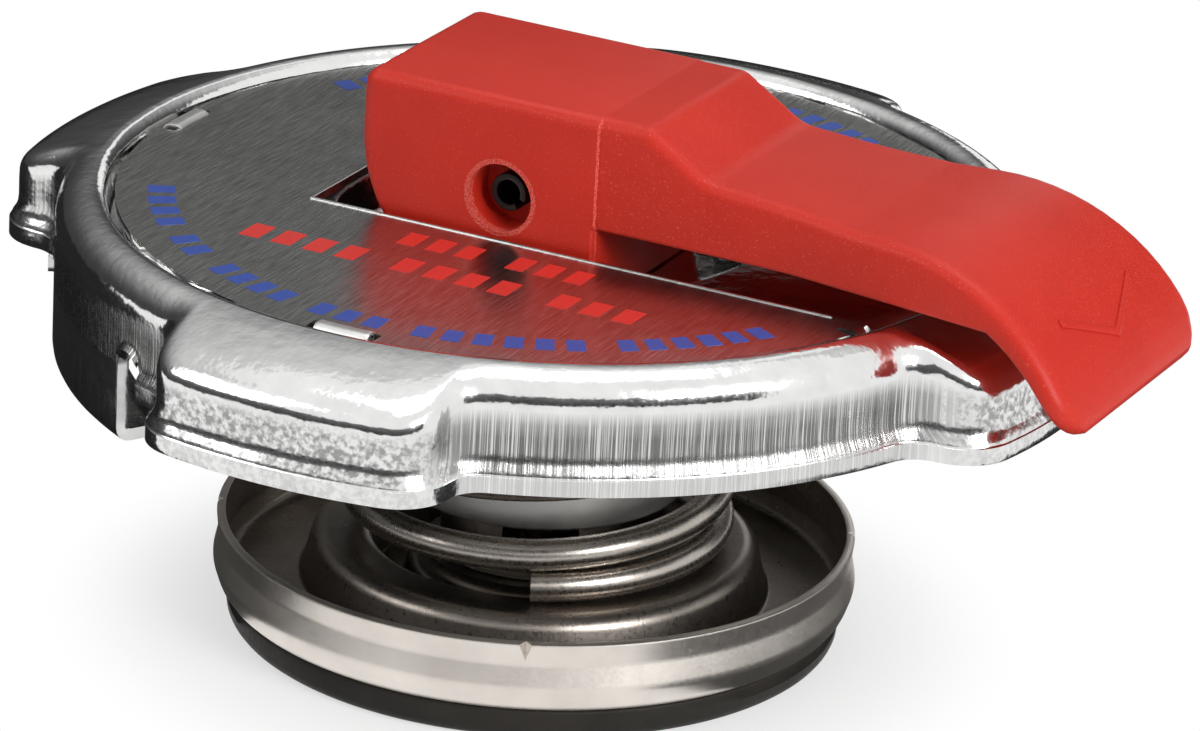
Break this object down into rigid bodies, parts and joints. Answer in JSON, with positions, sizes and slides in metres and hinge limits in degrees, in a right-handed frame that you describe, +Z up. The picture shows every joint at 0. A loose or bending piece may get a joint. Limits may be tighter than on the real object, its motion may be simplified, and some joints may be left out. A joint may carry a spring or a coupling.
{
  "type": "radiator cap",
  "caption": "Lever-release radiator cap: lobed pressed shell with bent cam ears, flip-up lever that lifts a sprung pressure valve, and a vacuum valve inside.",
  "frame": {"origin": "on the cap's axis in the plane of the lower seal's underside, where the part stands", "axes": "+Z up along the cap's axis, +X along the lowered lever, from the pin to its tip"},
  "size_m": [0.0787, 0.0738, 0.0383],
  "materials": {
    "plated_shell": "bright plated pressing, slightly wavy",
    "plate_metal": "fine brushed sheet",
    "plain_steel": "satin",
    "spring_steel": "warm grey nickel",
    "cup_metal": "warm plated sheet",
    "lever_red": "satin moulded, fine speckle",
    "pin_black": "black oxide",
    "seal_rubber": "matt",
    "turned_brass": "turned"
  },
  "bodies": {
    "cap": {"shell": "plated_shell", "name_plate": "plate_metal", "centre_eyelet": "plain_steel", "diaphragm": "plain_steel", "upper_gasket": "seal_rubber", "bell": "plain_steel", "stem_seal": "seal_rubber", "pressure_spring": "spring_steel"},
    "stem": {"lift_stem": "plain_steel"},
    "lever": {"lever": "lever_red", "lever_pin": "pin_black"},
    "valve": {"valve_cup": "cup_metal", "lift_yoke": "plain_steel", "lower_gasket": "seal_rubber", "seat_ferrule": "turned_brass", "vacuum_spring": "spring_steel"},
    "vacuum": {"vacuum_valve": "turned_brass", "vacuum_seal": "seal_rubber", "vacuum_keeper": "turned_brass"}
  },
  "joints": [
    {"name": "stem_lift", "type": "slide", "parent": "cap", "child": "stem", "axis": [0, 0, 1], "range_m": [0, 0.0041], "deforming": ["pressure_spring"]},
    {"name": "lever_hinge", "type": "hinge", "parent": "stem", "child": "lever", "pos_m": [0, 0, 0.0316], "axis": [0, -1, 0], "range_deg": [0, 90]},
    {"name": "valve_relief", "type": "slide", "parent": "stem", "child": "valve", "axis": [0, 0, 1], "range_m": [0, 0.0015], "stiffness_N_per_m": 300, "springref_m": -0.001, "deforming": ["pressure_spring"]},
    {"name": "vacuum_open", "type": "slide", "parent": "valve", "child": "vacuum", "axis": [0, 0, -1], "range_m": [0, 0.001], "stiffness_N_per_m": 20, "springref_m": -0.001, "deforming": ["vacuum_spring"]}
  ],
  "couplings": [
    {"joint": "lever_hinge", "follows": "stem_lift", "rad_per_m": 383.12}
  ]
}
